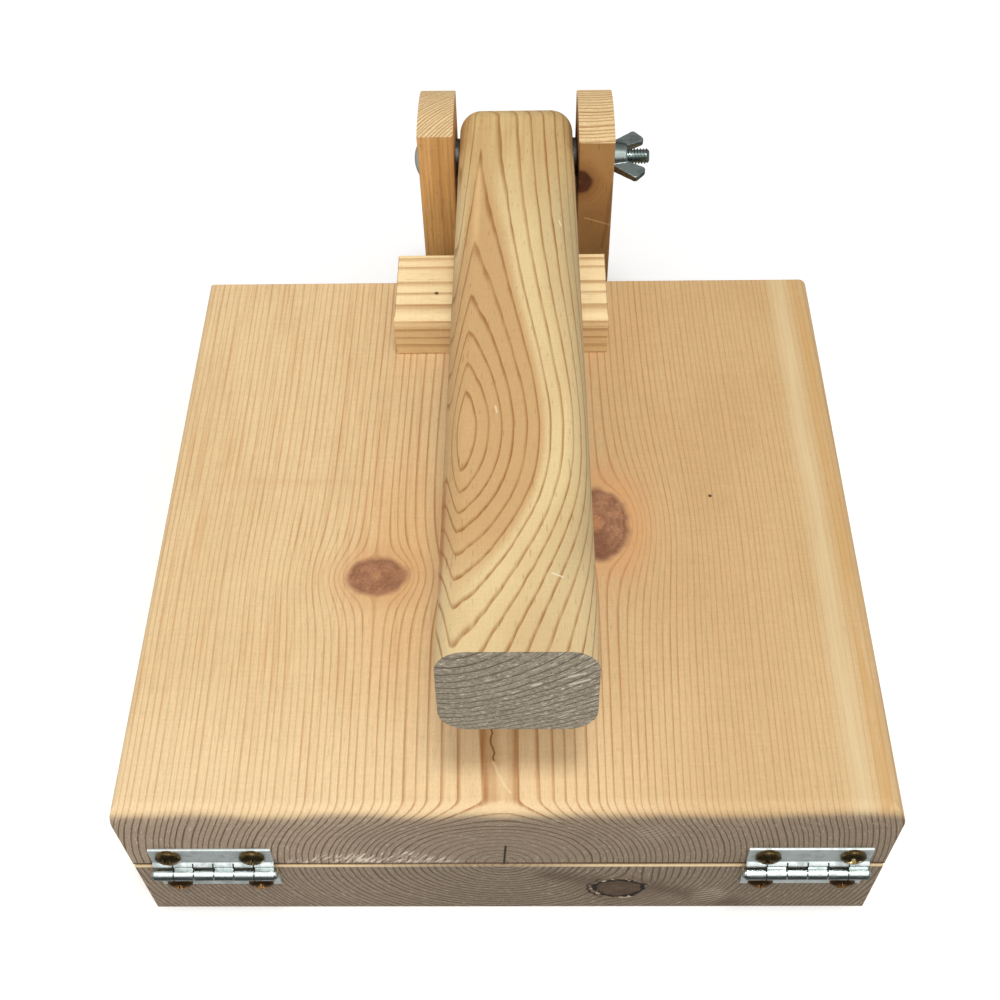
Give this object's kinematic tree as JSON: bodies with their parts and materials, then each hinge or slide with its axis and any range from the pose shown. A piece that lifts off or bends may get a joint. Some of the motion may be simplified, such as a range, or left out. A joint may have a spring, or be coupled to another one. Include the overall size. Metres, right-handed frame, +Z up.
{
  "type": "tortilla press",
  "caption": "Thick square wooden boards hinged along the front, squeezed together by a long wooden lever that pivots on a bolt between uprights at the back",
  "frame": {"origin": "middle of the base board's underside, on the table", "axes": "+X to the right seen from the hinged front, +Y to the back where the lever pivots, +Z up"},
  "size_m": [0.254, 0.3073, 0.1558],
  "materials": {
    "base_pine": "sanded, unfinished",
    "lid_pine": "sanded, unfinished",
    "block_pine": "sanded, unfinished",
    "upright_pine": "sanded, unfinished",
    "handle_pine": "sanded, unfinished, sawn end",
    "zinc_plate": "bright zinc plated steel",
    "brad_steel": "bare steel",
    "yellow_zinc": "yellow zinc plated steel"
  },
  "bodies": {
    "base": {"base_board": "base_pine", "left_upright": "upright_pine", "right_upright": "upright_pine", "left_upright_screws": "yellow_zinc", "right_upright_screws": "yellow_zinc", "pivot_bolt": "zinc_plate", "left_washer": "zinc_plate", "right_washer": "zinc_plate", "left_lower_leaf": "zinc_plate", "left_hinge_pin": "zinc_plate", "left_lower_screws": "yellow_zinc", "right_lower_leaf": "zinc_plate", "right_hinge_pin": "zinc_plate", "right_lower_screws": "yellow_zinc"},
    "lid": {"lid_board": "lid_pine", "press_block": "block_pine", "block_brads": "brad_steel", "left_upper_leaf": "zinc_plate", "left_upper_screws": "yellow_zinc", "right_upper_leaf": "zinc_plate", "right_upper_screws": "yellow_zinc"},
    "lever": {"handle": "handle_pine"},
    "nut": {"wing_nut": "zinc_plate"}
  },
  "joints": [
    {"name": "lever_pivot", "type": "hinge", "parent": "base", "child": "lever", "pos_m": [0.0042, 0.151, 0.11045], "axis": [-1, 0, 0], "range_deg": [0, 193]},
    {"name": "lid_hinge", "type": "hinge", "parent": "base", "child": "lid", "pos_m": [0, -0.135, 0.0381], "axis": [1, 0, 0], "range_deg": [0, 32.81]},
    {"name": "wing_nut_turn", "type": "hinge", "parent": "base", "child": "nut", "pos_m": [0.0434, 0.151, 0.11045], "axis": [1, 0, 0], "continuous": true}
  ],
  "couplings": [
    {"joint": "lid_hinge", "follows": "lever_pivot", "ratio": 0.17}
  ]
}
